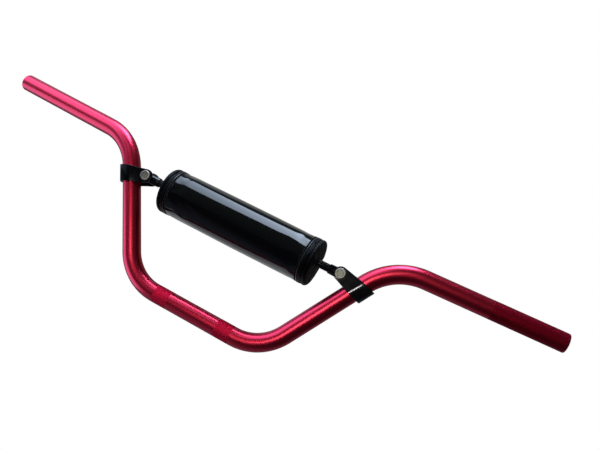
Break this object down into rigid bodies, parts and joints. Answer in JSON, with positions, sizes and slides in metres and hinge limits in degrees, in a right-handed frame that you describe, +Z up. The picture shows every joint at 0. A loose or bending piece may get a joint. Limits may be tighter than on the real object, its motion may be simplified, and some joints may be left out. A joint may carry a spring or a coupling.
{
  "type": "motocross handlebar",
  "caption": "High-rise bent tube handlebar with a crossbar bolted in folded clamp straps and a round padded sleeve on the crossbar.",
  "frame": {"origin": "centre of the straight clamping section, on the axis of the tube", "axes": "+X along the bar towards its right-hand end as the picture shows it, +Y back towards the rider, which is the way the grips sweep, +Z up along the rise of the bar"},
  "size_m": [0.7694, 0.0671, 0.1859],
  "materials": {
    "red_anodised": "satin red anodised",
    "black_steel": "satin black coating",
    "zinc_steel": "zinc plated",
    "pad_vinyl": "glossy coated fabric",
    "pad_fabric": "woven",
    "pad_piping": "satin cord",
    "pad_foam": "soft foam"
  },
  "bodies": {
    "root": {"handlebar_tube": "red_anodised", "crossbar_rod": "black_steel", "crossbar_eye_left": "black_steel", "crossbar_eye_right": "black_steel", "clamp_strap_left": "black_steel", "clamp_strap_right": "black_steel", "clamp_bolt_left": "zinc_steel", "clamp_bolt_right": "zinc_steel", "clamp_washer_left": "zinc_steel", "clamp_washer_right": "zinc_steel", "clamp_nut_left": "zinc_steel", "clamp_nut_right": "zinc_steel", "pad_foam": "pad_foam", "pad_sleeve": "pad_vinyl", "pad_end_cap_left": "pad_fabric", "pad_end_cap_right": "pad_fabric", "pad_welt_left": "pad_piping", "pad_welt_right": "pad_piping", "closure_hook_strip": "pad_fabric", "closure_loop_flap": "pad_fabric"}
  },
  "joints": []
}
